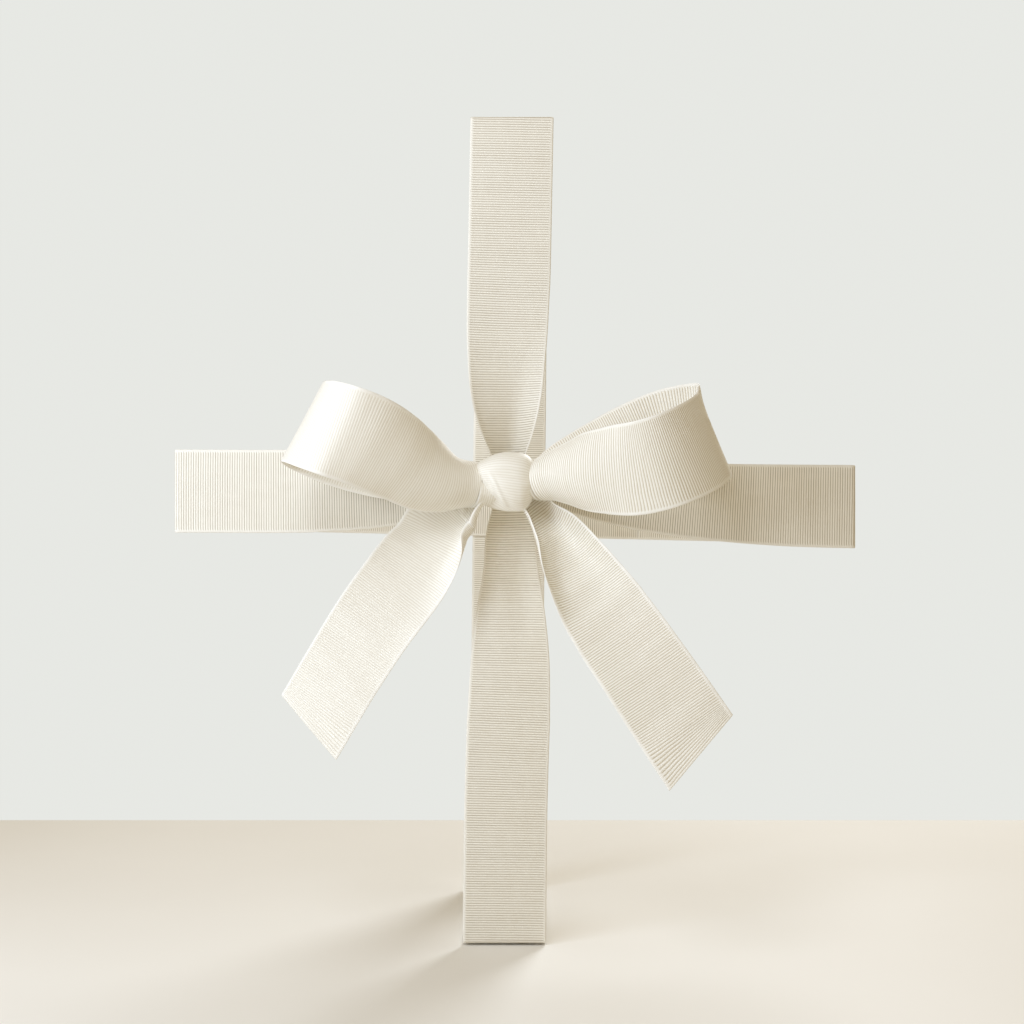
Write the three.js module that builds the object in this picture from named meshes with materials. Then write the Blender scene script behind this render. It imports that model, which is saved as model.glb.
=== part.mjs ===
// Ribbon gift bow: two loops and two tails bound at a knot, on the two ribbon
// bands that cross round a boxed gift. The gift itself is not part of it.
// Millimetres. X runs to the viewer's right, +Z up, and the bow faces -Y.
// The origin is on the gift's front face, straight behind the knot.
import * as THREE from 'three';
import { LoftGeometry } from 'three/addons/geometries/LoftGeometry.js';

// ---- the gift that the bands go round --------------------------------------
const GIFT = { left: -99.4, right: 104.8, bottom: -138.8, top: 109.3, depth: 65 };
const CORNER = 2.5;             // radius the ribbon takes round the gift's edges

// ---- ribbon ----------------------------------------------------------------
const WIDTH = 25;               // 1 inch grosgrain
const THICK = 1.0;              // ribbon taken as a plain solid strip
const PINCH_THICK = 1.5;        // the same ribbon gathered under the knot
const PINCH_WIDE = 9;           // width of a band where it is gathered
const GAP = 0.35;               // clearance between pieces that touch

// ---- bands -----------------------------------------------------------------
const VERTICAL = { topX: 1.8, knotX: 0.5, bottomX: -0.5, openTop: 12, openBottom: 24, lift: 1.1 };
const HORIZONTAL = { leftZ: -3.0, knotZ: -0.4, rightZ: -7.7, openLeft: 16, openRight: 24, lift: 5.9 };
const PINCH_HALF = 9.5;         // half length of the level run behind the knot
const OPEN_FROM = 8.9;          // where a gathered band starts to widen again
const SETTLE = 24;              // distance over which a band comes down to the gift
const LAP = 20;                 // overlap of a band's two ends at the back
const TAPE = { long: 16, wide: 18, thick: 0.3 };
const VERTICAL_LAP_Z = -84;     // middle of the vertical band's lap
const HORIZONTAL_LAP_X = 56;    // middle of the horizontal band's lap

// ---- knot ------------------------------------------------------------------
const KNOT = { halfLong: 8.5, middle: 8.4, edge: 7.4, wall: 1.0, y: -10.6, flatten: 0.86, sides: 28 };
const WAIST = { halfLong: 8.0, high: 9.5, flare: 10.5 };
const TAIL_WAIST = { y: -9.5, thick: 1.2 };
const LOOP_WAIST = { y: -12.3, thick: 3.6 };
const WIRE = { radius: 0.4, back: -8.15, front: -14.95, side: 5.9 };
const PAD = { radius: 7, thick: 0.75, sides: 24 };
const GLUE = { radius: 3, thick: 0.8, y: -4.95, sides: 12 };

const IVORY = 0xf4efe2;
const degrees = THREE.MathUtils.degToRad;
const ease = (x) => THREE.MathUtils.smoothstep(x, 0, 1);
const mix = THREE.MathUtils.lerp;

function cloth(name, geometry) {
  return piece(name, geometry, IVORY, 0.9, 0);
}

function piece(name, geometry, color, roughness, metalness) {
  const mesh = new THREE.Mesh(geometry, new THREE.MeshStandardMaterial({ color, roughness, metalness }));
  mesh.name = name;
  return mesh;
}

// One closed section of ribbon: `centre` is its middle, `across` the direction
// of its width and `forward` the way the ribbon runs. `bow` arches the middle
// of the section out of its plane; `slant` skews a cut end.
function section({ centre, across, forward, wide, thick, bow = 0, slant = 0, points = 7 }) {
  const side = across.clone().addScaledVector(forward, -across.dot(forward)).normalize();
  const up = new THREE.Vector3().crossVectors(forward, side);
  const ring = [];
  const place = (s, level) => centre.clone()
    .addScaledVector(side, s * wide)
    .addScaledVector(up, bow * (1 / 3 - 4 * s * s) + level * thick)
    .addScaledVector(forward, slant * s);
  for (let i = 0; i < points; i++) ring.push(place(0.5 - i / (points - 1), 0.5));
  for (let i = 0; i < points; i++) ring.push(place(i / (points - 1) - 0.5, -0.5));
  return ring;
}

// A ribbon through a few stations, each { at, lean, tip, wide, bow }: `lean`
// turns the width from upright towards +X, `tip` turns it towards the viewer.
function ribbon(stations, { steps = 4, cut = 0, cutLength = 10, points = 7 } = {}) {
  const path = new THREE.CatmullRomCurve3(stations.map((s) => new THREE.Vector3(...s.at)));
  const turn = new THREE.CatmullRomCurve3(stations.map((s) => new THREE.Vector3(s.lean, s.tip ?? 0, 0)));
  const form = new THREE.CatmullRomCurve3(stations.map((s) => new THREE.Vector3(s.wide, s.bow ?? 0, 0)));
  const count = (stations.length - 1) * steps;
  const length = path.getLength();
  const rings = [];
  for (let i = 0; i <= count; i++) {
    const t = i / count;
    const { x: lean, y: tip } = turn.getPoint(t);
    const { x: wide, y: bow } = form.getPoint(t);
    const across = new THREE.Vector3(
      Math.sin(degrees(lean)) * Math.cos(degrees(tip)),
      -Math.sin(degrees(tip)),
      Math.cos(degrees(lean)) * Math.cos(degrees(tip)));
    rings.push(section({
      centre: path.getPoint(t), across, forward: path.getTangent(t), wide, bow, points,
      thick: THICK, slant: cut * ease(1 - (1 - t) * length / cutLength),
    }));
  }
  return new LoftGeometry(rings, { capStart: true, capEnd: true });
}

// ---- bands round the gift ---------------------------------------------------
// A band is sectioned along its run round the gift. Each mark holds `depth`
// (along Y), `along` (Z for the vertical band, X for the horizontal one), the
// `heading` of the ribbon in that plane and, near the knot, its gathered form.
const LEVEL = GIFT.depth + THICK / 2;
const OVER_LAP = LEVEL + THICK + TAPE.thick + 2 * GAP;
const OVER_BAND = LEVEL + THICK + GAP;

function atBack(along, depth = LEVEL) {
  return { depth, along, heading: 90 };
}

function round(depth, along, start) {
  return [0, 30, 60, 90].map((step) => ({
    depth: depth + (CORNER + THICK / 2) * Math.cos(degrees(start + step)),
    along: along + (CORNER + THICK / 2) * Math.sin(degrees(start + step)),
    heading: start + step + 90,
  }));
}

// Front of a band: gathered behind the knot, opening out and settling on the
// gift with distance. `open` is how slowly the width comes back.
function atFront(along, { open, lift }) {
  const past = Math.max(Math.abs(along) - PINCH_HALF, 0);
  const settled = ease(past / SETTLE);
  const thick = mix(PINCH_THICK, THICK, settled);
  return {
    depth: -thick / 2 - lift * (1 - settled), along, heading: 270, thick,
    wide: WIDTH - (WIDTH - PINCH_WIDE) * Math.exp(-Math.max(Math.abs(along) - OPEN_FROM, 0) / open),
  };
}

function frontRun(high, low, openHigh, openLow, lift) {
  const marks = (reach) => {
    const near = [0, 1, 2, 3, 4, 5, 6, 7, 8].map((i) => PINCH_HALF + i * SETTLE / 5);
    return [...near, mix(near.at(-1), reach, 0.5), reach];
  };
  return [
    ...marks(high).reverse().map((along) => atFront(along, { open: openHigh, lift })),
    atFront(0, { open: openHigh, lift }),
    ...marks(-low).map((along) => atFront(-along, { open: openLow, lift })),
  ];
}

// Whole run: from the inner end at the back, up the back, over the high side,
// down the front, under the low side and over the inner end again.
function bandRun(low, high, lap, front, crossing) {
  const near = CORNER, far = GIFT.depth - CORNER;
  return [
    atBack(lap - LAP / 2), atBack(lap + LAP / 2),
    ...crossing,
    ...round(far, high - CORNER, 0), ...round(near, high - CORNER, 90),
    ...front,
    ...round(near, low + CORNER, 180), ...round(far, low + CORNER, 270),
    atBack(lap - LAP / 2 - 8), atBack(lap - LAP / 2 - 3, OVER_LAP), atBack(lap + LAP / 2, OVER_LAP),
  ];
}

// `place(depth, along, aside)` puts a point of the run's plane into space.
function bandSolid(run, aside, place) {
  const origin = place(0, 0, 0);
  const across = place(0, 0, 1).sub(origin);
  const rings = run.map((mark) => section({
    centre: place(mark.depth, mark.along, aside(mark.along, mark.depth)), across,
    forward: place(Math.cos(degrees(mark.heading)), Math.sin(degrees(mark.heading)), 0).sub(origin),
    wide: mark.wide ?? WIDTH, thick: mark.thick ?? THICK, points: 3,
  }));
  return new LoftGeometry(rings, { capStart: true, capEnd: true });
}

// Sideways place of a band's middle: straight across the back, and on the
// front eased from the knot to each end.
function drift(along, depth, high, low, atHigh, atKnot, atLow) {
  if (depth > GIFT.depth / 2) return mix(atLow, atHigh, (along - low) / (high - low));
  return along > 0
    ? mix(atKnot, atHigh, ease(along / high * 1.3))
    : mix(atKnot, atLow, ease(along / low * 1.3));
}

const verticalX = (z, depth) =>
  drift(z, depth, GIFT.top, GIFT.bottom, VERTICAL.topX, VERTICAL.knotX, VERTICAL.bottomX);
const horizontalZ = (x, depth) =>
  drift(x, depth, GIFT.right, GIFT.left, HORIZONTAL.rightZ, HORIZONTAL.knotZ, HORIZONTAL.leftZ);

function verticalBand() {
  const { openTop, openBottom, lift } = VERTICAL;
  const cross = horizontalZ(0, GIFT.depth);
  const half = WIDTH / 2;
  const crossing = [
    atBack(cross - half - 14), atBack(cross - half - 8, OVER_BAND),
    atBack(cross + half + 3, OVER_BAND), atBack(cross + half + 9),
  ];
  const front = frontRun(GIFT.top - CORNER - 0.5, GIFT.bottom + CORNER + 0.5, openTop, openBottom, lift);
  const run = bandRun(GIFT.bottom, GIFT.top, VERTICAL_LAP_Z, front, crossing);
  return bandSolid(run, verticalX, (depth, along, aside) => new THREE.Vector3(aside, depth, along));
}

function horizontalBand() {
  const { openLeft, openRight, lift } = HORIZONTAL;
  const front = frontRun(GIFT.right - CORNER - 0.5, GIFT.left + CORNER + 0.5, openRight, openLeft, lift);
  const run = bandRun(GIFT.left, GIFT.right, HORIZONTAL_LAP_X, front, []);
  return bandSolid(run, horizontalZ, (depth, along, aside) => new THREE.Vector3(along, depth, aside));
}

// Double-sided tape inside a lap.
function tape(name, along, aside, upright) {
  const y = LEVEL + THICK / 2 + GAP + TAPE.thick / 2;
  const geometry = upright
    ? new THREE.BoxGeometry(TAPE.wide, TAPE.thick, TAPE.long).translate(aside, y, along)
    : new THREE.BoxGeometry(TAPE.long, TAPE.thick, TAPE.wide).translate(along, y, aside);
  return piece(name, geometry, 0xf4f1e4, 0.5, 0);
}

// ---- knot --------------------------------------------------------------------
// The wrap is a short strip closed round the waist: a square-shouldered ring
// about X, fullest at its middle.
function knotWrap() {
  const { halfLong, middle, edge, wall, y, flatten, sides } = KNOT;
  const outer = [-1, -0.6, 0, 0.6, 1].map((u) => new THREE.Vector2(mix(middle, edge, u * u), u * halfLong));
  const inner = [1, 0, -1].map((u) => new THREE.Vector2(mix(middle, edge, u * u) - wall, u * halfLong));
  const ring = new THREE.LatheGeometry([...outer, ...inner, outer[0]], sides);
  const at = ring.getAttribute('position');
  for (let i = 0; i < at.count; i++) {
    const a = at.getX(i), b = at.getZ(i), r = Math.hypot(a, b);
    const shoulder = r / Math.pow(a ** 4 + b ** 4, 0.25);
    at.setXYZ(i, at.getY(i), y + b * shoulder * flatten, a * shoulder);
  }
  return cloth('knot_wrap', ring);
}

// Gathered middle of a ribbon, inside the wrap.
function waist(name, y, thick) {
  const { halfLong, high, flare } = WAIST;
  const rings = [-1, -0.4, 0.4, 1].map((u) => section({
    centre: new THREE.Vector3(u * halfLong, y, -0.3), across: new THREE.Vector3(0, 0, 1),
    forward: new THREE.Vector3(1, 0, 0), wide: Math.abs(u) === 1 ? flare : high, thick, points: 3,
  }));
  return cloth(name, new LoftGeometry(rings, { capStart: true, capEnd: true }));
}

function bindingWire() {
  const { radius, back, front, side } = WIRE;
  const middle = (back + front) / 2;
  const corner = 1.5;
  const loop = [
    [back, -side + corner], [back, side - corner], [back - corner, side], [front + corner, side],
    [front, side - corner], [front, -side + corner], [front + corner, -side], [back - corner, -side],
  ].map(([y, z]) => new THREE.Vector3(0, y, z - 0.3));
  const path = new THREE.CatmullRomCurve3(loop, true, 'catmullrom', 0.1);
  return piece('binding_wire', new THREE.TubeGeometry(path, 32, radius, 6, true), 0xc9c9c4, 0.35, 1);
}

function disc(name, radius, thick, y, sides, color, roughness) {
  const geometry = new THREE.CylinderGeometry(radius, radius, thick, sides).translate(VERTICAL.knotX, y, 0);
  return piece(name, geometry, color, roughness, 0);
}

// ---- bow -----------------------------------------------------------------------
// Each loop leaves the knot at the front, swings out, folds over and comes back
// behind; the bow's right loop folds with its back layer standing higher.
const LEFT_LOOP = [
  { at: [-10, -12.6, -1.8], lean: 0, wide: 11.5, bow: -2.5 },
  { at: [-14, -15.5, -2], lean: 6, wide: 15.5, bow: -3 },
  { at: [-21.7, -21, 1.2], lean: 15, wide: 21.5, bow: -2.5 },
  { at: [-31.2, -27.5, 6.5], lean: 24, wide: 24.5, bow: -1.2 },
  { at: [-39.7, -32, 10.8], lean: 27, wide: WIDTH },
  { at: [-46.5, -33.5, 13.2], lean: 28, wide: WIDTH },
  { at: [-53, -30.5, 15.4], lean: 28, wide: WIDTH },
  { at: [-57.8, -21, 16.3], lean: 28, wide: WIDTH },
  { at: [-56.5, -12, 14.1], lean: 27, wide: WIDTH },
  { at: [-49.8, -9, 11], lean: 25, wide: WIDTH },
  { at: [-28.4, -8.7, 3.4], lean: 14, wide: 20, bow: 0.8 },
  { at: [-18, -9.4, 0.1], lean: 5, wide: 14, bow: 1.5 },
  { at: [-10, -10.6, -1.6], lean: 0, wide: 9.5, bow: 2.2 },
];

const RIGHT_LOOP = [
  { at: [10.2, -13, 0.6], lean: 0, wide: 11.5, bow: 2.5 },
  { at: [13.3, -17.5, 1.3], lean: -2, wide: 15, bow: 3 },
  { at: [20.5, -25, 1.8], lean: -6, wide: 21, bow: 2.5 },
  { at: [29.2, -31, 2.2], lean: -9, wide: 24.5, bow: 1.2 },
  { at: [37.2, -35, 2.9], lean: -12, wide: WIDTH },
  { at: [45, -36, 5], lean: -16, wide: WIDTH },
  { at: [53.5, -32, 8.7], lean: -20, wide: WIDTH },
  { at: [59.4, -22, 12.6], lean: -22, wide: WIDTH },
  { at: [58.2, -12.5, 15.2], lean: -22, wide: WIDTH },
  { at: [51.3, -9, 14.6], lean: -21, wide: WIDTH },
  { at: [29.3, -8.7, 7.5], lean: -12, wide: 20, bow: -0.8 },
  { at: [18.3, -9.5, 3.7], lean: -6, wide: 14, bow: -1.5 },
  { at: [10.2, -10.7, 1], lean: 0, wide: 9.5, bow: -2.2 },
];

const LEFT_TAIL = [
  { at: [-10.5, -8.5, -9.8], lean: -45, wide: 7 },
  { at: [-15.2, -9.4, -13.2], lean: -49, wide: 15.5, bow: 1.5 },
  { at: [-20.8, -10.4, -18.8], lean: -55, wide: 22.5, bow: 1.5 },
  { at: [-28.6, -10.2, -27.2], lean: -57, wide: 24.6, bow: 0.5 },
  { at: [-38.8, -9.3, -41.5], lean: -58, tip: -4, wide: WIDTH },
  { at: [-48.8, -8, -57], lean: -58, tip: -9, wide: WIDTH },
  { at: [-58.6, -6.5, -73.2], lean: -58, tip: -15, wide: WIDTH },
];

const RIGHT_TAIL = [
  { at: [10.2, -8.5, -10.2], lean: 45, wide: 7 },
  { at: [14.2, -12, -16], lean: 50, wide: 15, bow: -1.5 },
  { at: [19.4, -16.8, -24.2], lean: 54, wide: 19.5, bow: -1.5 },
  { at: [27, -22.5, -35.6], lean: 55, wide: 24, bow: -0.5 },
  { at: [39.8, -30, -54.6], lean: 56, wide: WIDTH },
  { at: [53.8, -38, -75.5], lean: 56, wide: WIDTH },
];

const TAIL_CUT = -7.5;          // how far a tail's diagonal end runs back across the width

const bow = new THREE.Group();
bow.name = 'gift_bow';
bow.add(
  cloth('vertical_band', verticalBand()),
  cloth('horizontal_band', horizontalBand()),
  tape('vertical_lap_tape', VERTICAL_LAP_Z, verticalX(VERTICAL_LAP_Z, GIFT.depth), true),
  tape('horizontal_lap_tape', HORIZONTAL_LAP_X, horizontalZ(HORIZONTAL_LAP_X, GIFT.depth), false),
  disc('adhesive_pad', PAD.radius, PAD.thick, -PAD.thick / 2, PAD.sides, 0xf7f7f2, 0.6),
  disc('knot_glue', GLUE.radius, GLUE.thick, GLUE.y, GLUE.sides, 0xe9e4d2, 0.4),
  bindingWire(),
  knotWrap(),
  waist('loop_waist', LOOP_WAIST.y, LOOP_WAIST.thick),
  waist('tail_waist', TAIL_WAIST.y, TAIL_WAIST.thick),
  cloth('left_loop', ribbon(LEFT_LOOP)),
  cloth('right_loop', ribbon(RIGHT_LOOP)),
  cloth('left_tail', ribbon(LEFT_TAIL, { cut: TAIL_CUT })),
  cloth('right_tail', ribbon(RIGHT_TAIL, { cut: TAIL_CUT })),
);

export default bow;
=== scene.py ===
# Looks of the ribbon gift bow: ivory grosgrain loops, tails, knot and bands.
# Shapes are worked out in millimetres, with x to the right, y away from the
# viewer and z up, and made as meshes in metres.
import math

import bpy
import numpy as np
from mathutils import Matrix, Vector


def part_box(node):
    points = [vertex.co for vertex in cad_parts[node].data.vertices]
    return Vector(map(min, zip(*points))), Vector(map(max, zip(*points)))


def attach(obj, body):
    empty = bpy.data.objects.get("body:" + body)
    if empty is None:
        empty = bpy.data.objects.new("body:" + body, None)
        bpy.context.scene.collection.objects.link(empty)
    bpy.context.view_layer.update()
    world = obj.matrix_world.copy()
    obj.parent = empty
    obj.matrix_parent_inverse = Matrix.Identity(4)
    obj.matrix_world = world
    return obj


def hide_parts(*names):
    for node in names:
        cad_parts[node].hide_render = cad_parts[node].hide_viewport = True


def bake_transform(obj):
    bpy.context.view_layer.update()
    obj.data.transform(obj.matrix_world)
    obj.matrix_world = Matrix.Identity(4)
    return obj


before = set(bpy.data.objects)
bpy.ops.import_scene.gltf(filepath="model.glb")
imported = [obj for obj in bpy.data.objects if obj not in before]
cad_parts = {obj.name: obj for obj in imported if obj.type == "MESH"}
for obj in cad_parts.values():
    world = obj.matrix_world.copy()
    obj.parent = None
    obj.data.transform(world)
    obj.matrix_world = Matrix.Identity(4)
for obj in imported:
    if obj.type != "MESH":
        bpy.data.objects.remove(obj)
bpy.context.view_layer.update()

MM = 0.001

# ---- the gift the bands go round: its edges are read from the bands' boxes ----------
CAD_THICK = 1.0         # thickness of the bands' CAD strips
GIFT_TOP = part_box("vertical_band")[1].z / MM - CAD_THICK
GIFT_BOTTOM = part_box("vertical_band")[0].z / MM + CAD_THICK
GIFT_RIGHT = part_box("horizontal_band")[1].x / MM - CAD_THICK
GIFT_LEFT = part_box("horizontal_band")[0].x / MM + CAD_THICK
GIFT_DEPTH = 65.0       # from the gift's face, at y = 0, to its back

# ---- ribbon -------------------------------------------------------------------
WIDTH = 25.0            # 1 inch grosgrain
HALF_THICK = 0.15       # half the cloth's thickness between ribs
RIB_PITCH = 0.73        # distance from one weft rib to the next
RIB_HEIGHT = 0.075      # how far a rib stands out of the cloth
SELVAGE = 1.1           # width of the smooth edge without ribs
CORD_AT = 0.5           # a thicker thread runs along the selvage this far in,
CORD_WIDE = 0.25        # about this wide
CORD_HIGH = 0.05        # and standing this far out of the cloth
ROUNDED = 0.35          # the outermost part of a selvage thins out over this width
THINNED = 0.1           # by this much
CLEAR = 0.32            # middle of the cloth above what it lies on


# ---- camera ---------------------------------------------------------------------
STAND_OFF = 430.0       # camera to the gift's face
FIELD = 308.2           # width of the view at the gift's face
SENSOR = 36.0           # width of the camera's sensor
CAMERA_X, CAMERA_Z = 1.8, -9.3


def make_camera():
    data = bpy.data.cameras.new("camera")
    data.sensor_width = SENSOR
    data.lens = SENSOR * STAND_OFF / FIELD
    data.clip_start, data.clip_end = 0.01, 20
    camera = bpy.data.objects.new("camera", data)
    camera.location = (CAMERA_X * MM, -STAND_OFF * MM, CAMERA_Z * MM)
    camera.rotation_euler = (math.radians(90), 0, 0)
    bpy.context.scene.collection.objects.link(camera)
    bpy.context.scene.camera = camera


make_camera()


# ---- curves ---------------------------------------------------------------------
def unit(v):
    return v / np.maximum(np.linalg.norm(v, axis=-1, keepdims=True), 1e-12)


def ease(x):
    x = np.clip(x, 0, 1)
    return x * x * (3 - 2 * x)


def through(rows, knots, at):
    """A smooth curve through `rows`, one row at each of `knots`, read at `at`."""
    gap = np.diff(knots)[:, None]
    slope = np.diff(rows, axis=0) / gap
    inner = (slope[:-1] * gap[1:] + slope[1:] * gap[:-1]) / (gap[:-1] + gap[1:])
    tangent = np.vstack([slope[:1], inner, slope[-1:]])
    i = np.clip(np.searchsorted(knots, at, "right") - 1, 0, len(knots) - 2)
    h = gap[i]
    t = ((at - knots[i]) / h[:, 0])[:, None]
    return ((1 + 2 * t) * (1 - t) ** 2 * rows[i] + t * (1 - t) ** 2 * h * tangent[i]
            + t * t * (3 - 2 * t) * rows[i + 1] - t * t * (1 - t) * h * tangent[i + 1])


def smoothed(rows, reach):
    """Rows averaged with their neighbours, the two end rows kept in place."""
    kernel = np.hanning(2 * reach + 3)[1:-1]
    kernel /= kernel.sum()
    before = 2 * rows[0] - rows[reach:0:-1]
    after = 2 * rows[-1] - rows[-2:-reach - 2:-1]
    longer = np.vstack([before, rows, after])
    return np.stack([np.convolve(column, kernel, "valid") for column in longer.T], 1)


def distances(points):
    """How far along a path each of its points is."""
    return np.concatenate([[0], np.cumsum(np.linalg.norm(np.diff(points, axis=0), axis=1))])


def evenly(rows, step):
    """Rows read again at even steps along the path of their first three columns."""
    run = distances(rows[:, :3])
    along = np.arange(int(run[-1] / step) + 1) * step
    return np.stack([np.interp(along, run, column) for column in rows.T], 1), along


def ripple(x, seed):
    """A smooth wandering value from about -1 to 1, always the same for a seed:
    five sine waves, each quicker and lower than the one before."""
    turns = np.random.default_rng(seed).uniform(0, 2 * math.pi, 5)
    return sum(np.sin(x * (0.7 + 0.83 * k) + t) / (1 + 0.6 * k) for k, t in enumerate(turns)) / 2.2


def eased_marks(at, marks):
    """A smooth line through (place, value) marks, level beyond the last ones."""
    places, values = np.array(sorted(marks), float).T
    inside = np.clip(at, places[0], places[-1])
    return through(values[:, None], places, inside.ravel())[:, 0].reshape(inside.shape)


# ---- ribbon cloth ---------------------------------------------------------------
# A ribbon is rows of points. Each row runs straight across the cloth, and one
# rib of the weave takes a few rows. A station, and each row between stations, is
#   x, y, z, lean, tip, wide, crown, high, low
# with angles in degrees. lean turns the width from upright towards +X and tip
# turns it to the viewer; crown bends both edges back from the cloth's face; high
# and low curl one selvage, back where they are positive and over the face where
# they are negative; and what is still wider than `wide` is gathered into soft
# pleats.
FINE_EDGE = (0, 0.12, 0.35, 0.7, 1.15)      # columns near a selvage, by distance in from it
COARSE_EDGE = (0, 0.35, 1.15)
INNER_FROM = 2.1                            # the first evenly spaced column
READINGS = 1500                             # points that a curve through stations is read at
FOLD_STEPS = 161                            # points that a row's folds are worked out at
SEARCHES = 18                               # halvings in the search for a row's pleats
PLEATS_FADE = 7                             # pleats reach full depth when this much is gathered
CUT_REACH = 9.0                             # rows this near a diagonal end lean with it


def columns(count, edge=FINE_EDGE):
    """Places of the points of a row: `edge` at each selvage, `count` between."""
    edge = np.array(edge)
    inner = np.linspace(INNER_FROM, WIDTH - INNER_FROM, count)
    return np.concatenate([edge, inner, WIDTH - edge[::-1]]) - WIDTH / 2


def profile(rows, across, waves, phase, curl_from, steepest):
    """Sideways place and height of each point of each row. The cloth keeps its
    width until its pleats reach `steepest`; then they close up as they are."""
    wide, crown, high, low = (rows[:, k, None] for k in (5, 6, 7, 8))
    fine = np.linspace(-0.5, 0.5, FOLD_STEPS)[None]
    curl = ease((2 * np.abs(fine) - curl_from) / (1 - curl_from))
    bend = np.radians(crown * 2 * fine + np.where(fine > 0, high, -low) * curl)
    wave = np.sin(2 * math.pi * (waves * fine + phase))
    step = WIDTH / (FOLD_STEPS - 1)

    def form(pleat):
        turn = bend + pleat * wave
        mid = (turn[:, 1:] + turn[:, :-1]) / 2
        zero = np.zeros((len(rows), 1))
        return (np.hstack([zero, np.cumsum(np.cos(mid), 1)]) * step,
                np.hstack([zero, np.cumsum(-np.sin(mid), 1)]) * step)

    least = np.zeros((len(rows), 1))
    most = np.full((len(rows), 1), math.radians(steepest))
    for _ in range(SEARCHES):
        pleat = (least + most) / 2
        side = form(pleat)[0]
        over = (side.max(1) - side.min(1))[:, None] > wide
        least, most = np.where(over, pleat, least), np.where(over, most, pleat)
    side, up = form(pleat * ease((WIDTH - wide) / PLEATS_FADE))
    side = side - (side.max(1, keepdims=True) + side.min(1, keepdims=True)) / 2
    side = side * np.minimum(wide / 2 / side.max(1, keepdims=True), 1) * np.maximum(wide / WIDTH, 1)
    up = up - up.mean(1, keepdims=True)

    def pick(values):
        return np.array([np.interp(across / WIDTH, fine[0], row) for row in values])

    return pick(side), pick(up)


def lay(rows, along, across, face=1, waves=1.5, phase=0.25, curl_from=0.35, steepest=45,
        cut=0.0, skew=0.0):
    """The middle surface of a ribbon, a grid of points. `face` is 1 or -1, for
    the side that bends are counted from; `waves` and `phase` place its pleats;
    selvages curl from the share `curl_from` of the half width outwards; `cut`
    runs its far end diagonally and `skew` leans every row along the ribbon."""
    centre = rows[:, :3]
    lean, tip = np.radians(rows[:, 3]), np.radians(rows[:, 4])
    wide = np.stack([np.sin(lean) * np.cos(tip), -np.sin(tip), np.cos(lean) * np.cos(tip)], 1)
    forward = unit(np.gradient(centre, axis=0))
    wide = unit(wide - forward * np.sum(wide * forward, 1, keepdims=True))
    up = np.cross(forward, wide) * face
    side, height = profile(rows, across, waves, phase, curl_from, steepest)
    near_end = ease(1 - (along[-1] - along) / CUT_REACH)
    slant = (cut * near_end)[:, None] * (across / WIDTH)[None] + skew * side
    return (centre[:, None] + wide[:, None] * side[..., None] + up[:, None] * height[..., None]
            + forward[:, None] * slant[..., None])


def stations(*marks):
    """Stations along a ribbon, each with its place and whatever isn't zero there."""
    return np.array([[*m["at"], m["lean"], m.get("tip", 0), m.get("wide", WIDTH), m.get("crown", 0),
                      m.get("high", 0), m.get("low", 0)] for m in marks], float)


def ribbon(name, marks, per_rib=4, count=20, smooth=2.5, seed=1, sway=0.0, rib=1.0, **form):
    """A ribbon along stations. It has `per_rib` rows to a rib and `count` columns
    inside its selvages; `smooth` is how far its bends are rounded, `sway` how far
    it strays from flat, and `rib` how strong its ribs are, both in height and in the painted shade of
    their grooves."""
    knots = distances(marks[:, :3])
    dense = through(marks, knots, np.linspace(0, knots[-1], READINGS))
    rows, along = evenly(dense, RIB_PITCH / per_rib)
    rows = smoothed(rows, int(smooth * per_rib / RIB_PITCH))
    across = columns(count)
    points = lay(rows, along, across, **form)
    points[..., 1] += sway * ripple(along[:, None] * 0.16 + across[None] * 0.05, seed + 7)
    return weave(name, points, along, across, per_rib, seed, rib)


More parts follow.
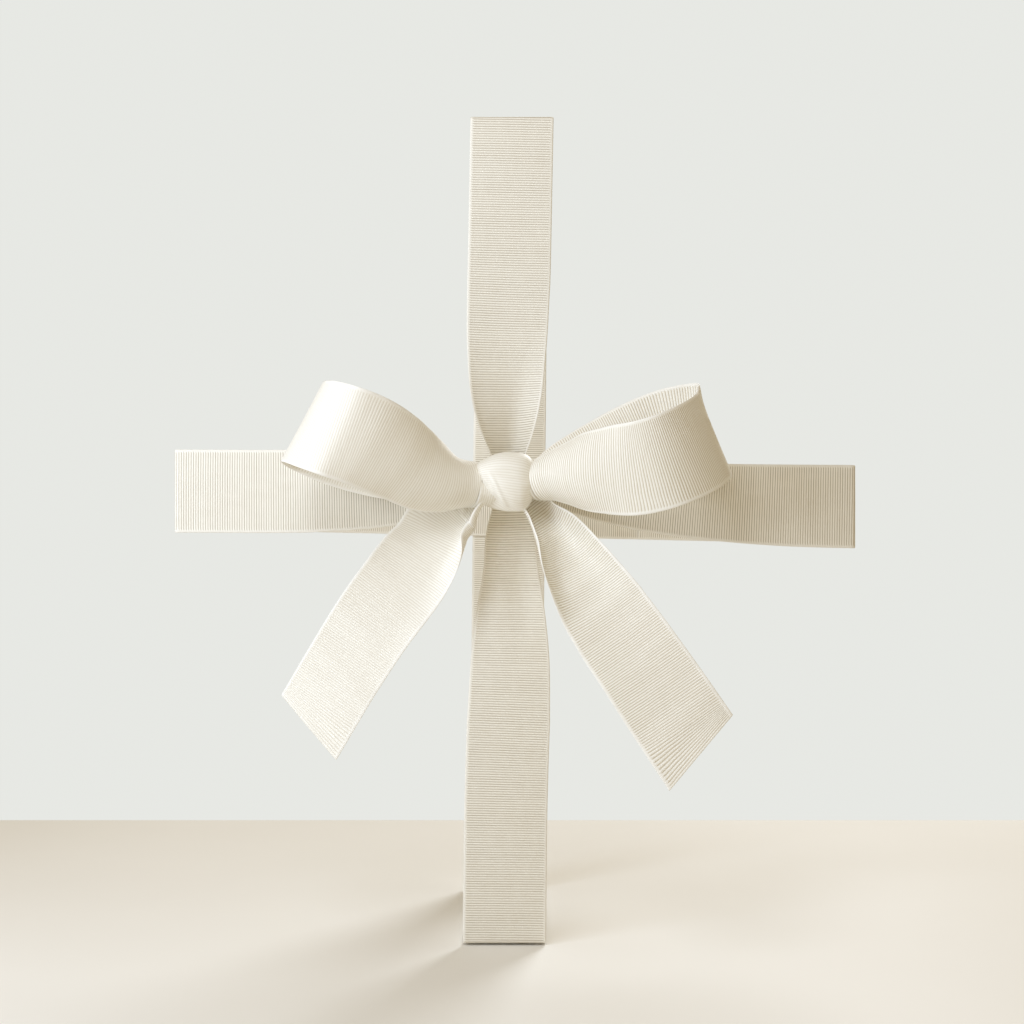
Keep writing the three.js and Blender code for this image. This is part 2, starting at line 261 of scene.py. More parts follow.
def weave(name, points, along, across, per_rib, seed, rib=1.0):
    """Closes a middle surface into cloth with ribs, smooth selvages and ends."""
    n, m = points.shape[:2]
    normal = unit(np.cross(np.gradient(points, axis=0), np.gradient(points, axis=1)))
    edge = (WIDTH / 2 - np.abs(across))[None]
    body = (HALF_THICK - THINNED * (1 - ease(edge / ROUNDED))
            + CORD_HIGH * np.exp(-((edge - CORD_AT) / CORD_WIDE) ** 2))
    # ribs stray a little from straight and even, and fade out at the selvages and ends
    wander = 0.07 * ripple(across[None] * 0.35 + along[:, None] * 0.11, seed)
    wave = -np.cos(2 * math.pi * (along[:, None] / RIB_PITCH + wander))
    uneven = 0.88 + 0.12 * ripple(along[:, None] * 0.9, seed + 1)
    strength = ease((edge - CORD_AT) / (SELVAGE - CORD_AT)) * uneven
    ends = ease(np.minimum(np.arange(n), np.arange(n)[::-1]) / (per_rib * 0.6))[:, None]
    ribs = wave * strength * ends
    half = (body * (0.55 + 0.45 * ends) + RIB_HEIGHT * rib * ribs)[..., None]
    sides = [(points + normal * half).reshape(-1, 3), (points - normal * half).reshape(-1, 3)]
    verts = np.concatenate(sides) * MM
    top = np.arange(n * m).reshape(n, m)
    low = top + n * m

    def quad(*corners):
        return np.stack([corner.ravel() for corner in corners], 1)

    faces = np.concatenate([
        quad(top[:-1, :-1], top[1:, :-1], top[1:, 1:], top[:-1, 1:]),
        quad(low[:-1, :-1], low[:-1, 1:], low[1:, 1:], low[1:, :-1]),
        quad(top[:-1, 0], low[:-1, 0], low[1:, 0], top[1:, 0]),
        quad(top[:-1, -1], top[1:, -1], low[1:, -1], low[:-1, -1]),
        quad(top[0, :-1], top[0, 1:], low[0, 1:], low[0, :-1]),
        quad(top[-1, :-1], low[-1, :-1], low[-1, 1:], top[-1, 1:]),
    ])
    grid = np.stack(np.broadcast_arrays(across[None], along[:, None]), -1).reshape(-1, 2)
    edges = np.broadcast_to(edge, (n, m)).ravel()
    return cloth_piece(name, verts, faces, np.tile(grid, (2, 1)) * MM,
                       np.tile(0.5 + 0.5 * rib * ribs.ravel(), 2), np.tile(edges, 2) * MM)


def cloth_piece(name, verts, faces, grid, ribs, edges):
    """A mesh that carries its place in the weave: `weave` is metres across and
    along the cloth, `rib` is about 0 in a valley and 1 on a rib, `edge` is
    metres in from the selvage."""
    mesh = bpy.data.meshes.new(name)
    mesh.from_pydata(verts.tolist(), [], faces.tolist())
    corner = np.zeros(len(mesh.loops), int)
    mesh.loops.foreach_get("vertex_index", corner)
    mesh.uv_layers.new(name="weave").data.foreach_set("uv", grid[corner].astype(np.float32).ravel())
    for word, values in (("rib", ribs), ("edge", edges)):
        mesh.attributes.new(word, "FLOAT", "POINT").data.foreach_set("value", values.astype(np.float32))
    mesh.polygons.foreach_set("use_smooth", [True] * len(mesh.polygons))
    mesh.update()
    return shown(name, mesh)


def shown(name, mesh):
    piece = bpy.data.objects.new(name, mesh)
    bpy.context.scene.collection.objects.link(piece)
    return piece


def joined(name, parts):
    """Several meshes made into one piece."""
    with bpy.context.temp_override(
            active_object=parts[0], selected_editable_objects=parts, object=parts[0]):
        bpy.ops.object.join()
    parts[0].name = name
    return parts[0]


# ---- loops and tails --------------------------------------------------------------
# A loop's stations go out along its front layer and come back along its back
# layer. A tail's go from the knot to its cut end.
LEFT_LOOP = stations(
    dict(at=(-2.5, -10.8, -1.8), lean=0, wide=10, crown=100),
    dict(at=(-6.5, -11.6, -1.5), lean=0, wide=12, crown=105),
    dict(at=(-10.2, -13.1, -1.1), lean=1, wide=15, crown=106),
    dict(at=(-14.2, -15.8, -1.0), lean=7, wide=18.4, crown=84),
    dict(at=(-21.7, -21, 1.3), lean=16, wide=23, crown=48),
    dict(at=(-31.2, -27.5, 6.6), lean=24, wide=26, crown=20),
    dict(at=(-39.7, -32, 10.9), lean=27, wide=26.6, crown=5),
    dict(at=(-46.5, -33.5, 13.3), lean=28, wide=26.6),
    dict(at=(-53.2, -30.5, 15.4), lean=28, wide=26.2),
    dict(at=(-58.2, -21, 16.4), lean=28, wide=25.6),
    dict(at=(-56.8, -12, 14.2), lean=27),
    dict(at=(-49.8, -9, 11), lean=25),
    dict(at=(-28.4, -8.7, 3.4), lean=14, wide=20, crown=-48),
    dict(at=(-18, -9.4, 0.1), lean=5, wide=15, crown=-60),
    dict(at=(-10, -10.2, -1.6), lean=0, wide=11, crown=-42),
    dict(at=(-5.5, -10.2, -1.6), lean=0, wide=10, crown=-42),
)
RIGHT_LOOP = stations(
    dict(at=(5.5, -11.4, 0.2), lean=0, wide=9.5, crown=100),
    dict(at=(8.6, -13.9, 0.2), lean=0, wide=12, crown=118),
    dict(at=(13.3, -17.5, 1.3), lean=-2, wide=17, crown=88),
    dict(at=(20.5, -25, 1.8), lean=-6, wide=23, crown=48),
    dict(at=(29.2, -31, 2.2), lean=-9, wide=25.6, crown=20),
    dict(at=(37.2, -35, 2.9), lean=-12, wide=26, crown=5),
    dict(at=(45, -36, 5), lean=-16, wide=26),
    dict(at=(53.5, -32, 8.7), lean=-20, wide=26),
    dict(at=(59.4, -22, 13.0), lean=-22, wide=25.8),
    dict(at=(58.2, -12.5, 15.8), lean=-22, wide=25.6),
    dict(at=(51.3, -9, 15.4), lean=-21),
    dict(at=(29.3, -8.7, 8.0), lean=-12, wide=21, crown=-46),
    dict(at=(18.3, -9.5, 4.1), lean=-6, wide=16, crown=-60),
    dict(at=(10.2, -10.3, 1.2), lean=0, wide=11, crown=-42),
    dict(at=(5.5, -10.2, 0.6), lean=0, wide=10, crown=-42),
)
LEFT_TAIL = stations(
    dict(at=(-6.8, -8.8, -0.8), lean=-8, wide=8, crown=-40, low=-60),
    dict(at=(-11.2, -8.7, -4.0), lean=-28, wide=12, crown=-30, low=-140),
    dict(at=(-15.7, -9.2, -7.5), lean=-50, wide=19.2, crown=-22, low=-155),
    dict(at=(-19.6, -10.0, -12.0), lean=-57, wide=23.5, crown=-14, low=-140),
    dict(at=(-22.8, -10.3, -18.4), lean=-60, wide=25.0, crown=-10, low=-80),
    dict(at=(-28.1, -10.2, -26.8), lean=-58, wide=25.2, crown=-8, low=-25),
    dict(at=(-38.8, -9.3, -41.5), lean=-58, tip=-4, wide=24.7, crown=-5, low=-10),
    dict(at=(-48.8, -8, -57.0), lean=-58, tip=-9, wide=24.4, crown=-2),
    dict(at=(-58.6, -6.5, -73.2), lean=-58, tip=-15, crown=2),
)
RIGHT_TAIL = stations(
    dict(at=(7.8, -8.9, -5.6), lean=22, wide=8, crown=-50, low=-90),
    dict(at=(10.9, -8.9, -9.8), lean=38, wide=9, crown=-40, low=-110),
    dict(at=(15.6, -12, -15.6), lean=49, wide=14.0, crown=-42, low=-100),
    dict(at=(20.4, -16.8, -24.0), lean=54, wide=18.8, crown=-38, low=-60),
    dict(at=(27.0, -22.5, -35.6), lean=55, wide=24, crown=-22),
    dict(at=(39.8, -30, -54.6), lean=56, wide=25.8, crown=-6),
    dict(at=(53.8, -38, -75.5), lean=56, wide=26.2, crown=4),
)
TAIL_CUT = -7.5         # how far a tail's diagonal end runs back across the width

# The ribs' strength sets their height and the painted shade in their grooves; fainter on the left and
# stronger on the right, it stands in for how the light falls across the bow.
FAINT, STRONG = 0.5, 1.25       # strength of the ribs on the left and the right of the bow

left_loop = ribbon("left_loop_ribbon", LEFT_LOOP, face=-1, seed=3, sway=0.15, rib=FAINT, steepest=8)
right_loop = ribbon("right_loop_ribbon", RIGHT_LOOP, face=1, seed=5, sway=0.15, rib=STRONG, steepest=8)
left_tail = ribbon("left_tail_ribbon", LEFT_TAIL, face=-1, seed=8, sway=0.3, rib=1.1 * FAINT,
                   cut=TAIL_CUT + 1, steepest=12, curl_from=0.32)
right_tail = ribbon("right_tail_ribbon", RIGHT_TAIL, face=1, seed=9, sway=0.3, rib=STRONG,
                    cut=TAIL_CUT, steepest=12)


# ---- knot -------------------------------------------------------------------------
KNOT_X, KNOT_Y, KNOT_Z = -0.6, -10.7, -0.4      # the wrapped ring's middle
KNOT_HIGH, KNOT_DEEP = 7.5, 6.9                 # half its height and half its depth
SQUARE = 2.5                                    # its section: 2 is an ellipse, more is squarer
OVERLAP = 25.0                                  # degrees that the strip's ends lap at the back
LAP_GAP = 0.5                                   # one end's middle over the other's there
KNOT_WIDE = 18.5                                # width of the wrap with its edges turned in
KNOT_RIBS = 0.35                                # strength of the ribs, stretched almost flat


def knot_wrap():
    angle = np.radians(np.linspace(-180 - OVERLAP, 180 + OVERLAP, 700))
    square = (np.abs(np.cos(angle)) ** SQUARE + np.abs(np.sin(angle)) ** SQUARE) ** (-1 / SQUARE)
    lap = LAP_GAP * ease((angle - math.pi) / math.radians(OVERLAP)) - LAP_GAP / 2
    y = KNOT_Y - (KNOT_DEEP + lap) * square * np.cos(angle)
    z = KNOT_Z + (KNOT_HIGH + lap) * square * np.sin(angle)
    full = np.ones_like(angle)
    # lean, tip, wide, crown, high and low are the same all the way round
    rest = [value * full for value in (90, 0, KNOT_WIDE, 24, 160, 160)]
    rows, along = evenly(np.stack([KNOT_X * full, y, z, *rest], 1), RIB_PITCH / 4)
    across = columns(66)
    points = creased(tapered(lay(rows, along, across, face=-1, curl_from=0.5, skew=-0.12)))
    return weave("knot_wrap_ribbon", points, along, across, 4, 11, rib=KNOT_RIBS)


# where the wrap's left side runs over the front: (height, place), top to bottom
LEFT_SIDE = [(8.0, -9.8), (4.6, -9.6), (1.1, -8.0), (-1.1, -7.1),
             (-4.0, -5.4), (-6.3, -3.3), (-8.2, -0.8), (-9.5, 0.5)]
TURN_X = 7.0            # right of this the wrap keeps its own width


def drawn_in(past, reach, share, power=2):
    """The share of its size that the ring has lost `past` mm beyond where it
    starts to narrow; at `reach` mm that is `share`."""
    return share * (np.maximum(past, 0) / reach) ** power


def tapered(points):
    """Draws the ring in: its top slopes away to the left, its left side runs
    down to the right across the front, and its low point is right of the middle."""
    x, z = points[..., 0], points[..., 2] - KNOT_Z
    top = 1 - drawn_in(1.2 - x, 11, 0.38, 1.8) - drawn_in(x - 4.5, 4.0, 0.15)
    tip = 1 - drawn_in(1.6 - x, 11.0, 0.30) - drawn_in(x - 2.2, 7.0, 0.30)
    upper = ease(z / 6 + 0.5)
    high = top * upper + tip * (1 - upper)
    deep = 1 - drawn_in(-1.0 - x, 8.8, 0.20) - drawn_in(x - 3.0, 5.5, 0.22)
    y, z = KNOT_Y + (points[..., 1] - KNOT_Y) * deep, KNOT_Z + z * high
    on_front = ease((KNOT_Y + 2.5 - y) / 5.0)
    side = eased_marks(z, LEFT_SIDE)
    drawn = TURN_X - np.maximum(TURN_X - x, 0) * (TURN_X - side) / (TURN_X - LEFT_SIDE[0][1])
    x = np.where(x < TURN_X, x + (drawn - x) * on_front, x)
    return np.stack([x, y, z], -1)


# the ridge over the wrap's front, from (x, z) to (x, z)
RIDGE_FROM, RIDGE_TO = np.array([-4.6, 0.8]), np.array([-0.4, -7.4])


def creased(points):
    """Marks the wrap's front with a diagonal ridge: left of it the cloth falls
    away to the wrap's left side, right of it stands the full pillow, and a
    shallow hollow runs across the pillow's upper half."""
    x, y, z = np.moveaxis(points, -1, 0)
    run = unit(RIDGE_TO - RIDGE_FROM)
    rel = points[..., [0, 2]] - RIDGE_FROM
    aside = rel @ np.array([-run[1], run[0]])
    before = rel @ run
    front = ease((KNOT_Y + 1.0 - y) / 5.0)
    below = np.maximum(-aside, 0)
    fall = 0.55 * ease(below / 0.7) + 0.8 * ease(below / 4.5)
    rim = 0.35 * np.exp(-((aside - 0.45) / 0.6) ** 2)
    hollow = 0.5 * np.exp(-((z - 1.6 + 0.1 * x) / 1.8) ** 2) * ease((x + 6) / 6)
    out = points - np.array([0, KNOT_Y, KNOT_Z])
    out[..., 0] = 0
    shift = (rim - fall) * (front * ease(before / 4.0 + 0.5)) - hollow * front
    return points + unit(out) * shift[..., None]


knot = knot_wrap()


# ---- waists: the gathered middles inside the knot ------------------------------------
WAIST_END = 6.2         # how far a waist reaches from the knot's middle
WAIST_FLARE = 4.2       # the length of its wider ends


def strip(name, y, z, crown, seed, left=-WAIST_END):
    """One level layer of a waist, at depth y and height z."""
    marks = stations(
        dict(at=(left, y, z), lean=0, wide=11, crown=crown),
        dict(at=(left + WAIST_FLARE, y, z), lean=0, wide=9.6, crown=crown),
        dict(at=(WAIST_END - WAIST_FLARE, y, z), lean=0, wide=9.6, crown=crown),
        dict(at=(WAIST_END, y, z), lean=0, wide=11, crown=crown),
    )
    return ribbon(name, marks, face=1, seed=seed, waves=2.5, count=16, steepest=100)


# the front layer starts further in, where the left loop's cloth takes over from it
loop_layers = [strip("loop_waist_front", -12.6, -0.6, 60, 21, left=-3.0),
               strip("loop_waist_back", -11.0, -0.6, 60, 22)]
loop_waist = joined("loop_waist_ribbon", loop_layers)
tail_waist = strip("tail_waist_ribbon", -9.0, -0.8, 30, 23)


# ---- bands round the gift --------------------------------------------------------------
SETTLE_FROM, SETTLE = 9.5, 24.0         # a lifted band comes down to the gift over this stretch
LAP = 20.0                              # how far a band's ends lap
TAPE_IN, TAPE_OUT = 66.35, 66.65        # faces of the tape inside a lap
TAPE_CLEAR = 0.27                       # middle of the cloth from the tape's face
LAP_INNER = TAPE_IN - TAPE_CLEAR
LAP_OUTER = TAPE_OUT + TAPE_CLEAR
OVER = 0.75                             # how far one band stands over the other at the back
MARGIN = 2.0                            # a lap or crossing stays level this far past its end
LAP_SLOPE, OVER_SLOPE = 10.0, 7.0       # lengths of the slopes down from them
FLUTTER = 0.12                          # how far the front of a band strays from flat
PATH_STEP, CORNER = 0.2, 11             # a corner is rounded over this many steps each way
TROUGH_FROM, TROUGH = 8.0, 16.0         # the hollow by the knot fades from here, over this


def band(name, low, high, lap, lift, widths, hollow, middle, place, crossing=None, seed=1):
    """A strip round the gift. `lap` is where its ends meet at the back; `widths`
    and `middle` are marks of its gathered width and its sideways place, by
    distance along the front from the knot; `hollow` is its trough on each side
    of the knot; `lift` is how far the knot holds it off the gift; `place` turns
    (depth, distance along, sideways) into x, y, z; and `crossing` is where it
    passes over the other band at the back."""
    back = GIFT_DEPTH + CLEAR
    lap_from, lap_to = lap - LAP / 2, lap + LAP / 2
    path = [(LAP_INNER, lap_from), (LAP_INNER, lap_to + MARGIN), (back, lap_to + MARGIN + LAP_SLOPE)]
    if crossing is not None:
        reach = WIDTH / 2 + MARGIN
        path += [(back, crossing - reach - OVER_SLOPE), (back + OVER, crossing - reach),
                 (back + OVER, crossing + reach), (back, crossing + reach + OVER_SLOPE)]
    path += [(back, high + CLEAR), (-CLEAR, high + CLEAR), (-CLEAR, low - CLEAR), (back, low - CLEAR),
             (back, lap_from - LAP_SLOPE), (LAP_OUTER, lap_from - MARGIN), (LAP_OUTER, lap_to)]
    path = np.array(path)
    run = distances(path)
    dense = np.arange(0, run[-1], PATH_STEP)
    depth, along = (smoothed(np.interp(dense, run, column)[:, None], CORNER)[:, 0] for column in path.T)
    front = depth < GIFT_DEPTH / 2
    away = np.abs(along)
    loose = np.where(front, 1 - ease((away - SETTLE_FROM) / SETTLE), 0)
    wide = np.where(front, eased_marks(along, widths), WIDTH)
    fading = np.exp(-np.maximum(away - TROUGH_FROM, 0) / TROUGH)
    bend = np.where(front, np.where(along > 0, hollow[0], hollow[1]) * fading, 0)
    ends = eased_marks(along, [(low, middle[-1][1]), (high, middle[0][1])])
    aside = np.where(front, eased_marks(along, middle), ends)
    depth = depth - lift * loose - FLUTTER * (1 + ripple(along * 0.09, seed)) * front
    x, y, z = place(depth, along, aside)
    full = np.ones_like(x)
    # the width of the upright band runs along X, and that of the level one is upright
    lean = (90.0 if np.ptp(z) > np.ptp(x) else 0.0) * full
    rows = np.stack([x, y, z, lean, 0 * full, wide, bend, 0 * full, 0 * full], 1)
    rows, ran = evenly(rows, RIB_PITCH / 3)
    across = columns(9, COARSE_EDGE)
    points = lay(rows, ran, across, waves=1.5, phase=0.25, steepest=10)
    return weave(name, points, ran, across, 3, seed)


CROSS_Z = -5.2          # where the bands cross at the back
vertical = band(
    "vertical_band_ribbon", GIFT_BOTTOM, GIFT_TOP, -84, 1.1,
    widths=[(0, 8.5), (8, 10.5), (12.4, 14.1), (18.4, 18.1), (24.4, 20.8), (39, 23.7), (60, WIDTH),
            (-9, 11.2), (-14.3, 14.2), (-27, 16.6), (-36, 19.6), (-51, 23.2), (-72, WIDTH)],
    hollow=(-70, 30),
    middle=[(GIFT_TOP, 1.8), (69, 1.05), (24, 0.15), (8, 0.7), (-14, 1.3), (-50, 1.3), (-96, 0),
            (GIFT_BOTTOM, -0.5)],
    place=lambda depth, along, aside: (aside, depth, along), crossing=CROSS_Z, seed=31)
horizontal = band(
    "horizontal_band_ribbon", GIFT_LEFT, GIFT_RIGHT, 56, 5.9,
    widths=[(0, 8.5), (8, 10.0), (20, 15), (30, 18.5), (46, 21.8), (64, 23.3), (85, 24.6), (100, WIDTH),
            (-8, 10.0), (-20, 17.5), (-36, 22.5), (-60, WIDTH)],
    hollow=(-40, -40),
    middle=[(GIFT_RIGHT, -7.7), (84, -7.3), (64, -6.4), (46, -4.9), (30, -3.2), (0, -0.4),
            (-30, -2.2), (-60, -3.0), (GIFT_LEFT, -3.0)],
    place=lambda depth, along, aside: (along, depth, aside), seed=37)


# ---- adhesive pad -----------------------------------------------------------------------
def foam_pad():
    """A round pad of foam: rings of points from its front face to its back."""
    low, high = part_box("adhesive_pad")
    centre = np.array((low + high) / 2) / MM
    radius, half = (high.x - low.x) / 2 / MM, (high.y - low.y) / 2 / MM - 0.01
    around = 72
    face = [(0.0, half), (radius * 0.5, half), (radius - 0.3, half), (radius - 0.08, half * 0.7)]
    ring = face + [(radius, 0)] + [(r, -y) for r, y in reversed(face)]
    turn = np.arange(around) / around * 2 * math.pi
    lump = 1 + 0.012 * ripple(turn * 3, 5) * np.sin(turn / 2)
    verts = [centre + [0, ring[0][1], 0]]
    for r, y in ring[1:-1]:
        verts += [centre + [r * k * math.cos(t), y, r * k * math.sin(t)] for t, k in zip(turn, lump)]
    verts.append(centre + [0, ring[-1][1], 0])
    faces = []
    rings = len(ring) - 2
    for i in range(around):
        j = (i + 1) % around
        faces.append((0, 1 + i, 1 + j))
        for k in range(rings - 1):
            a, b = 1 + k * around, 1 + (k + 1) * around
            faces.append((a + i, b + i, b + j, a + j))
        last = 1 + (rings - 1) * around
        faces.append((len(verts) - 1, last + j, last + i))
    mesh = bpy.data.meshes.new("adhesive_foam")
    mesh.from_pydata([tuple(v * MM) for v in verts], [], faces)
    mesh.polygons.foreach_set("use_smooth", [True] * len(mesh.polygons))
    mesh.update()
    return shown("adhesive_foam", mesh)


pad = foam_pad()


# ---- materials ------------------------------------------------------------------------------
class Nodes:
    """Short names for building one material's node tree."""

    def __init__(self, name):
        self.material = bpy.data.materials.new(name)
        self.material.use_nodes = True
        self.tree = self.material.node_tree
        self.surface = self.tree.nodes["Principled BSDF"]

    def add(self, kind, **inputs):
        node = self.tree.nodes.new(kind)
        for key, value in inputs.items():
            self.set(node, key.replace("_", " "), value)
        return node

    def set(self, node, key, value):
        socket = node.inputs[key]
        if isinstance(value, bpy.types.NodeSocket):
            self.tree.links.new(value, socket)
        else:
            socket.default_value = value

    def attribute(self, name):
        node = self.add("ShaderNodeAttribute")
        node.attribute_name = name
        return node.outputs["Fac"]

    def spread(self, value, low, high, to_low=0.0, to_high=1.0, kind="SMOOTHSTEP"):
        node = self.add("ShaderNodeMapRange")
        node.interpolation_type = kind
        ends = {"Value": value, "From Min": low, "From Max": high, "To Min": to_low, "To Max": to_high}
        for key, end in ends.items():
            self.set(node, key, end)
        return node.outputs["Result"]

    def mix(self, fac, a, b, how="MIX"):
        node = self.add("ShaderNodeMix")
        node.data_type, node.blend_type = "RGBA", how
        for socket, value in zip((node.inputs[0], node.inputs[6], node.inputs[7]), (fac, a, b)):
            if isinstance(value, bpy.types.NodeSocket):
                self.tree.links.new(value, socket)
            else:
                socket.default_value = value
        return node.outputs[2]

    def noise(self, vector, scale, detail=3.0, rough=0.5):
        node = self.add("ShaderNodeTexNoise", Vector=vector, Scale=scale, Detail=detail, Roughness=rough)
        return node.outputs["Fac"]

    def stretch(self, vector, scale):
        node = self.add("ShaderNodeMapping", Vector=vector, Scale=scale)
        return node.outputs["Vector"]

    def place(self):
        return self.add("ShaderNodeTexCoord").outputs["Object"]

    def bump(self, height, strength, distance, under=None):
        node = self.add("ShaderNodeBump", Height=height, Strength=strength, Distance=distance)
        if under is not None:
            self.set(node, "Normal", under)
        return node.outputs["Normal"]

    def finish(self, **inputs):
        for key, value in inputs.items():
            self.set(self.surface, key.replace("_", " "), value)
        return self.material


# The wave texture repeats every pi / 10 over its scale, so the warp's lines are
# about 0.43 mm apart.
WARP_SCALE = 2270.0 / 3.1416


def grosgrain(name, shade_tint, groove_shade):
    """Ribbon cloth. Its first colour darkens the whole ribbon, painted shade for ribbons
    that lie in shade; its second darkens the valleys between its ribs, painted shade in the grooves."""
    m = Nodes(name)
    uv = m.add("ShaderNodeUVMap")
    uv.uv_map = "weave"
    cloth = uv.outputs["UV"]
    rib, edge = m.attribute("rib"), m.attribute("edge")
    # fine lines along the cloth cross the ribs; the yarn itself is fuzzier
    warp = m.add("ShaderNodeTexWave", Vector=cloth, Scale=WARP_SCALE, Distortion=0.6, Detail=2.0)
    warp.wave_type, warp.bands_direction, warp.wave_profile = "BANDS", "X", "SIN"
    fuzz = m.noise(m.stretch(cloth, (5200, 2600, 1)), 1.0, 3.0, 0.6)
    slub = m.noise(m.stretch(cloth, (60, 900, 1)), 1.0, 2.0, 0.5)
    blotch = m.noise(m.place(), 38.0, 3.0, 0.5)
    ivory = m.mix(blotch, (0.94, 0.91, 0.825, 1), (0.965, 0.945, 0.875, 1))
    ivory = m.mix(m.spread(slub, 0.35, 0.7, 0.0, 0.35), ivory, (0.89, 0.85, 0.76, 1))
    # painted shade: the valleys between the ribs are darkened towards the groove colour
    ivory = m.mix(m.spread(rib, 0.0, 0.62, 1.0, 0.0), ivory, (*groove_shade, 1))
    ivory = m.mix(m.spread(warp.outputs["Fac"], 0.2, 0.8, 0.10, 0.0), ivory, (0.82, 0.76, 0.65, 1))
    ivory = m.mix(m.spread(edge, 0.0004, 0.0011, 0.55, 0.0), ivory, (0.95, 0.93, 0.88, 1))
    # painted shade: the whole ribbon is multiplied by its darkening tint (white for the bow)
    ivory = m.mix(1.0, ivory, (*shade_tint, 1), "MULTIPLY")
    thread = m.bump(fuzz, 0.05, 0.00005)
    thread = m.bump(warp.outputs["Fac"], 0.12, 0.00004, thread)
    rough = m.spread(fuzz, 0.25, 0.75, 0.52, 0.60, "LINEAR")
    return m.finish(Base_Color=ivory, Roughness=rough, Normal=thread, Sheen_Weight=0.25,
                    Sheen_Roughness=0.35, Specular_IOR_Level=0.55)


def tape():
    m = Nodes("double_sided_tape")
    cloud = m.noise(m.place(), 900.0, 3.0)
    colour = m.mix(cloud, (0.86, 0.83, 0.72, 1), (0.92, 0.90, 0.82, 1))
    return m.finish(Base_Color=colour, Roughness=m.spread(cloud, 0.3, 0.7, 0.25, 0.4, "LINEAR"),
                    Normal=m.bump(cloud, 0.2, 0.0001))


def foam():
    m = Nodes("white_foam")
    cell = m.add("ShaderNodeTexVoronoi", Vector=m.place(), Scale=3200.0)
    shade = m.spread(cell.outputs["Distance"], 0.1, 0.8, 0.0, 1.0)
    colour = m.mix(shade, (0.70, 0.69, 0.65, 1), (0.92, 0.92, 0.89, 1))
    return m.finish(Base_Color=colour, Roughness=m.spread(shade, 0.0, 1.0, 0.9, 0.7, "LINEAR"),
                    Normal=m.bump(shade, 0.6, 0.00015))


def glue():
    m = Nodes("hot_glue")
    cloud = m.noise(m.place(), 700.0, 4.0)
    colour = m.mix(cloud, (0.72, 0.66, 0.48, 1), (0.86, 0.82, 0.68, 1))
    return m.finish(Base_Color=colour, Roughness=m.spread(cloud, 0.3, 0.7, 0.12, 0.3, "LINEAR"),
                    Normal=m.bump(cloud, 0.4, 0.0003))


def steel_wire():
    m = Nodes("steel_wire")
    drawn = m.noise(m.stretch(m.place(), (3000, 600, 600)), 1.0, 3.0)
    colour = m.mix(drawn, (0.46, 0.45, 0.43, 1), (0.66, 0.65, 0.62, 1))
    rough = m.spread(drawn, 0.3, 0.7, 0.22, 0.42, "LINEAR")
    return m.finish(Base_Color=colour, Metallic=1.0, Roughness=rough, Normal=m.bump(drawn, 0.2, 0.00005))


# The bands are the same ribbon as the bow; their darker, warmer tint and darker grooves are painted
# shade.
bow_cloth = grosgrain("ivory_grosgrain", (1.0, 1.0, 1.0), (0.60, 0.53, 0.40))
shaded_band_cloth = grosgrain("ivory_grosgrain_bands_painted_shade", (0.95, 0.94, 0.915), (0.42, 0.355, 0.26))
bow = (left_loop, right_loop, left_tail, right_tail, knot, loop_waist, tail_waist)
bands = (vertical, horizontal)
for pieces, cloth in ((bow, bow_cloth), (bands, shaded_band_cloth)):
    for piece in pieces:
        piece.data.materials.append(cloth)
pad.data.materials.append(foam())


def refinish(node, material):
    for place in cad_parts[node].material_slots:
        place.material = material


sticky = tape()
refinish("vertical_lap_tape", sticky)
refinish("horizontal_lap_tape", sticky)
refinish("knot_glue", glue())
refinish("binding_wire", steel_wire())

# ---- what each piece stands for, and what the wrap's pieces ride on -------------------------
# A loop or tail stands for its hidden part; the start and end points listed beside the knot are not
# used.
for piece, node in ((vertical, "vertical_band"), (horizontal, "horizontal_band"), (knot, "knot_wrap"),
                    (loop_waist, "loop_waist"), (tail_waist, "tail_waist"), (pad, "adhesive_pad")):
    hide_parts(node)
    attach(piece, "wrap")
for piece, body, start, end in (
        (left_loop, "left_loop", (-8, -12, -1.8), (-16, -12, -1.8)),
        (right_loop, "right_loop", (8, -12, 0.6), (16, -12, 0.6)),
        (left_tail, "left_tail", (-8, -8.5, -4), (-15, -8.5, -10)),
        (right_tail, "right_tail", (7, -8.5, -7.5), (13, -8.5, -13))):
    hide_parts(body)
    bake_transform(piece)


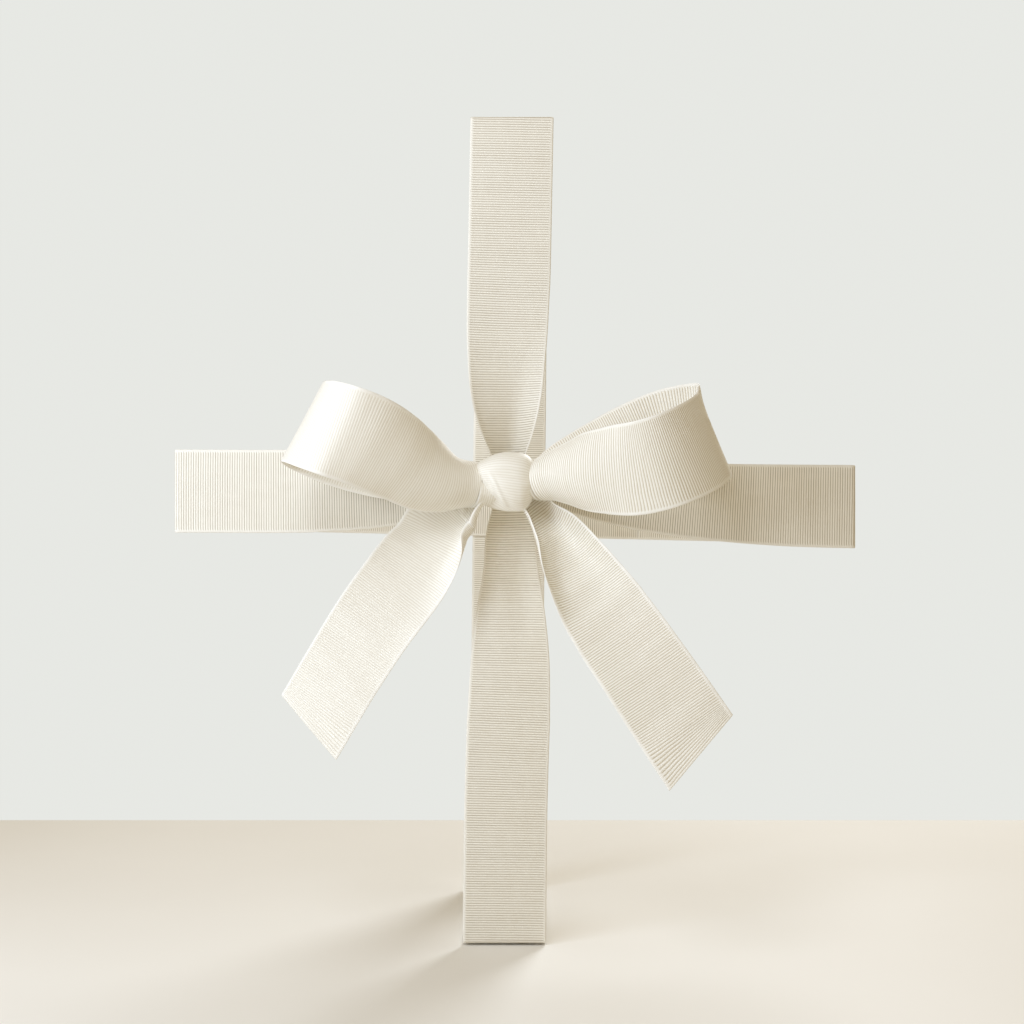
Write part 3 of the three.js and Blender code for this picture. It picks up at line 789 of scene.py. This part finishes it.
# ---- table, lights and surroundings -----------------------------------------------------------
def table_top():
    low, back, reach, front = GIFT_BOTTOM - 1.0, 179.0, 700.0, -420.0
    bevel, apron = 4.0, 30.0
    mesh = bpy.data.meshes.new("floor")
    section = [(front, low), (back - bevel, low), (back - 1.2, low - 1.2), (back, low - bevel),
               (back, low - apron)]
    verts = [(x * MM, y * MM, z * MM) for y, z in section for x in (-reach, reach)]
    faces = [(2 * i, 2 * i + 1, 2 * i + 3, 2 * i + 2) for i in range(len(section) - 1)]
    mesh.from_pydata(verts, [], faces)
    mesh.update()
    floor = shown("floor", mesh)
    m = Nodes("pale_floor")
    cloud = m.noise(m.place(), 9.0, 4.0)
    floor.data.materials.append(m.finish(
        Base_Color=m.mix(cloud, (0.80, 0.765, 0.70, 1), (0.85, 0.82, 0.76, 1)), Roughness=0.6))


def lamp(name, at, target, size, power, colour):
    """A round soft lamp; places and size are in metres, power in watts."""
    data = bpy.data.lights.new(name, "AREA")
    data.shape, data.size, data.energy, data.color = "DISK", size, power, colour
    light = bpy.data.objects.new(name, data)
    light.location = at
    way = Vector(target) - Vector(at)
    light.rotation_euler = way.to_track_quat("-Z", "Y").to_euler()
    bpy.context.scene.collection.objects.link(light)


def surroundings(seen, light):
    """A plain studio: `seen` is what the camera sees of it, `light` what it gives."""
    world = bpy.data.worlds.new("studio")
    bpy.context.scene.world = world
    world.use_nodes = True
    nodes, links = world.node_tree.nodes, world.node_tree.links
    nodes.clear()
    shades = [nodes.new("ShaderNodeBackground") for _ in range(2)]
    for shade, colour in zip(shades, (light, seen)):
        shade.inputs["Color"].default_value = (*colour, 1)
    choose, path, out = (nodes.new("ShaderNode" + k) for k in ("MixShader", "LightPath", "OutputWorld"))
    links.new(path.outputs["Is Camera Ray"], choose.inputs[0])
    links.new(shades[0].outputs[0], choose.inputs[1])
    links.new(shades[1].outputs[0], choose.inputs[2])
    links.new(choose.outputs[0], out.inputs["Surface"])


table_top()
lamp("key", (-0.12, -0.30, 0.28), (-0.01, 0.0, 0.0), 0.22, 0.62, (0.88, 0.97, 1.12))
lamp("side", (-0.29, -0.22, 0.05), (-0.03, 0.0, 0.0), 0.20, 0.68, (0.82, 0.955, 1.17))
lamp("behind", (0.25, 0.52, 0.36), (0.0, 0.05, 0.0), 0.30, 3.0, (0.93, 1.0, 1.10))
surroundings(seen=(0.80, 0.81, 0.775), light=(0.40, 0.318, 0.182))
bpy.context.scene.view_settings.view_transform = "Standard"
